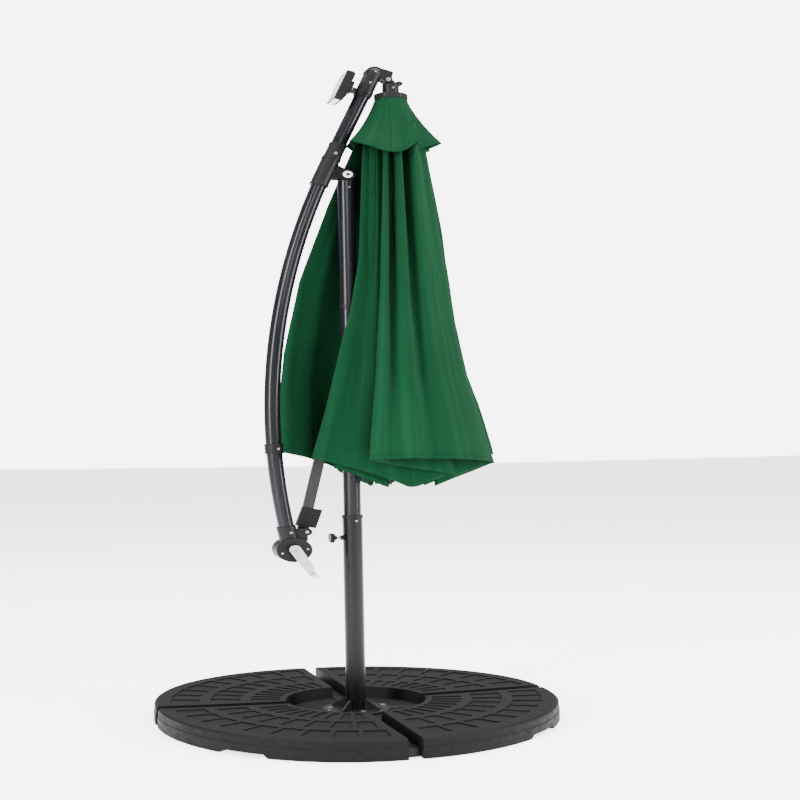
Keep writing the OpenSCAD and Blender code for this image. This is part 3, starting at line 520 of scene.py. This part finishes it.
def catmull(p0, p1, p2, p3, s):
    return 0.5 * (2 * p1 + (p2 - p0) * s + (2 * p0 - 5 * p1 + 4 * p2 - p3) * s * s
                  + (3 * p1 - p0 - 3 * p2 + p3) * s ** 3)


RIB_EXTRA = 0.105  # how much longer a rib is than the middle of a gore
LAST_STEP = 40  # mm from a gore's last guide to the next gore's first
TOP_DRAW = 0.92  # the top of the cloth is drawn in under the vent
VALLEY_BELOW = 40  # mm, a guide that starts nearer the axis than this is the bottom of a valley


def gore_guides():
    """Guide lines of the cloth: hem point, top point, hem height and profile."""
    guides, ribs_at = [], []
    for profile, pts in GORES:
        ribs_at.append(len(guides))
        lens = [0.0]
        for a, b in zip(pts, pts[1:]):
            lens.append(lens[-1] + math.hypot(b[0] - a[0], b[1] - a[1]))
        total = lens[-1] + LAST_STEP
        for (x, y, ta, tr), done in zip(pts, lens):
            off = abs(done / total - 0.5) * 2
            reach = HEM_LEN + RIB_EXTRA * off ** 2
            hem = Vector((x, y)) / 1000
            rho = (hem - AXIS).length
            z = APEX_Z - math.sqrt(reach ** 2 - rho ** 2)
            turn = math.radians(ta)
            top = AXIS + Vector((math.cos(turn), math.sin(turn))) * tr * TOP_DRAW / 1000
            guides.append((hem, top, z, VALLEY if tr < VALLEY_BELOW else profile))
    return guides, ribs_at


def rounded(ring, steps):
    """A closed ring of points with a smooth curve put through them, steps points for each."""
    n = len(ring)
    row = []
    for i in range(n):
        p = [ring[(i + k) % n] for k in (-1, 0, 1, 2)]
        for s in range(steps):
            row.append(catmull(*p, s / steps))
    return row


def hem_distances(hem):
    """Length along the hem from its first point to each point, and once round to the first again."""
    us = [0.0]
    for c in range(1, len(hem) + 1):
        us.append(us[-1] + (hem[c % len(hem)] - hem[c - 1]).length)
    return us


def skirt_mesh(grid, us, length):
    """A closed skirt of quads through the rings of the grid, its UVs in metres of cloth."""
    rows, cols = len(grid) - 1, len(grid[0])
    bm = bmesh.new()
    uv = bm.loops.layers.uv.new("UVMap")
    verts = [[bm.verts.new(p) for p in row] for row in grid]
    for r in range(rows):
        for c in range(cols):
            d = (c + 1) % cols
            f = bm.faces.new((verts[r][c], verts[r + 1][c], verts[r + 1][d], verts[r][d]))
            for loop, (rr, cc) in zip(f.loops, ((r, c), (r + 1, c), (r + 1, c + 1), (r, c + 1))):
                loop[uv].uv = (us[cc], length * rr / rows)
            f.smooth = True
    return bm, verts


def wrinkle_cloth(bm, verts, us, depth):
    """Small streaks, puckers and sags, growing from the top to the hem."""
    bm.normal_update()
    moves = []
    for r, row in enumerate(verts):
        t = r / (len(verts) - 1)
        for u, v in zip(us, row):
            streak = noise.noise(Vector((u * 14, t * 2.2, 3.1)))
            pucker = noise.noise(Vector((u * 34, t * 16, 7.7)))
            sag = noise.noise(Vector((u * 5, t * 5, 1.3)))
            moves.append((v, depth * (streak + 0.35 * pucker + 0.8 * sag) * min(1, 0.3 + t)))
    for v, move in moves:
        v.co += v.normal * move


def cloth_object(name, bm):
    mesh = bpy.data.meshes.new(name)
    bm.to_mesh(mesh)
    bm.free()
    ob = bpy.data.objects.new(name, mesh)
    bpy.context.scene.collection.objects.link(ob)
    print(name, "area of one layer", round(sum(p.area for p in mesh.polygons), 3), "m2")
    return ob


CANOPY_ROWS, CANOPY_STEPS, WRINKLE = 60, 4, 0.0028


def main_canopy(name):
    guides, ribs_at = gore_guides()
    grid = []
    for r in range(CANOPY_ROWS + 1):
        t = r / CANOPY_ROWS
        ring = []
        for hem, top, z, profile in guides:
            xy = top.lerp(hem, along(profile, t))
            ring.append(Vector((xy.x, xy.y, TOP_Z + (z - TOP_Z) * t)))
        grid.append(rounded(ring, CANOPY_STEPS))
    us = hem_distances(grid[-1])
    bm, verts = skirt_mesh(grid, us, HEM_LEN)
    wrinkle_cloth(bm, verts, us, WRINKLE)
    return cloth_object(name, bm), [round(us[i * CANOPY_STEPS], 4) for i in ribs_at]


CLOTH_THICK = 0.0012


def dress(ob, cloth, stands_for):
    """Cloth, thickness, body and slot of a canopy."""
    ob.data.materials.append(cloth)
    m = ob.modifiers.new("thickness", "SOLIDIFY")
    m.thickness = CLOTH_THICK
    m.offset = 0
    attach(ob, "hanger")
    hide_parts(stands_for)


canopy, seams = main_canopy("canopy")
dress(canopy, cloth_material("canopy_cloth_weave", HEM_LEN, seams), "canopy_cloth")

# small vent canopy: hem points as (x, y, z in mm), from the left corner round the front
VENT_HEM = [(2, -38, 2203), (12, -58, 2192), (36, -88, 2174), (60, -100, 2158), (90, -104, 2149),
            (122, -102, 2156), (148, -103, 2180), (168, -108, 2206), (166, -98, 2200),
            (150, -70, 2160), (152, -60, 2158), (180, -52, 2178), (214, -38, 2198),
            (249, -20, 2214), (242, -6, 2208), (208, 6, 2186), (204, 16, 2182), (228, 34, 2192),
            (244, 58, 2204), (226, 70, 2196), (192, 66, 2178), (176, 74, 2176), (172, 98, 2190),
            (154, 112, 2200), (134, 100, 2188), (116, 84, 2174), (96, 88, 2178), (74, 96, 2196),
            (54, 84, 2192), (50, 66, 2178), (36, 48, 2182), (16, 36, 2196), (8, 20, 2198),
            (22, 6, 2184), (20, -10, 2182), (8, -24, 2194)]


VENT_LEN = 0.23  # cap disc to the vent's hem
VENT_TOP_R, VENT_TOP_Z, VENT_MID_X = 0.041, 2.379, 0.126
VENT_ROWS, VENT_STEPS, VENT_PINCH = 22, 5, 0.034
VENT_SEAMS_AT = (0, 4, 9, 14, 18, 23, 27, 31)  # indices in VENT_HEM


def vent_canopy(name):
    """A bell: straight guide lines from the cap disc to the hem, drawn in between them."""
    grid = []
    for r in range(VENT_ROWS + 1):
        t = r / VENT_ROWS
        ring = []
        for x, y, z in VENT_HEM:
            hem = Vector((x / 1000, y / 1000, z / 1000))
            a = math.atan2(hem.y, hem.x - VENT_MID_X)
            out = Vector((math.cos(a), math.sin(a), 0))
            top = Vector((AXIS.x + VENT_TOP_R * out.x, VENT_TOP_R * out.y, VENT_TOP_Z))
            ring.append(top.lerp(hem, t) - out * (VENT_PINCH * t * (1 - t)))
        grid.append(rounded(ring, VENT_STEPS))
    us = hem_distances(grid[-1])
    bm, _ = skirt_mesh(grid, us, VENT_LEN)
    return cloth_object(name, bm), [round(us[i * VENT_STEPS], 4) for i in VENT_SEAMS_AT]


vent, vent_seams = vent_canopy("vent_canopy")
dress(vent, cloth_material("vent_cloth_weave", VENT_LEN, vent_seams), "vent_flap")


# ---------------------------------------------------------------- floor
def make_floor():
    bpy.ops.mesh.primitive_plane_add(size=40, location=(0, 0, -0.0005))
    floor = bpy.context.active_object
    floor.name = "floor"
    k = Mat("floor")
    k.set(Base_Color=(0.93, 0.93, 0.93, 1), Roughness=0.9)
    k.set(Emission_Color=(1, 1, 1, 1), Emission_Strength=2.4)
    floor.data.materials.append(k.m)


make_floor()
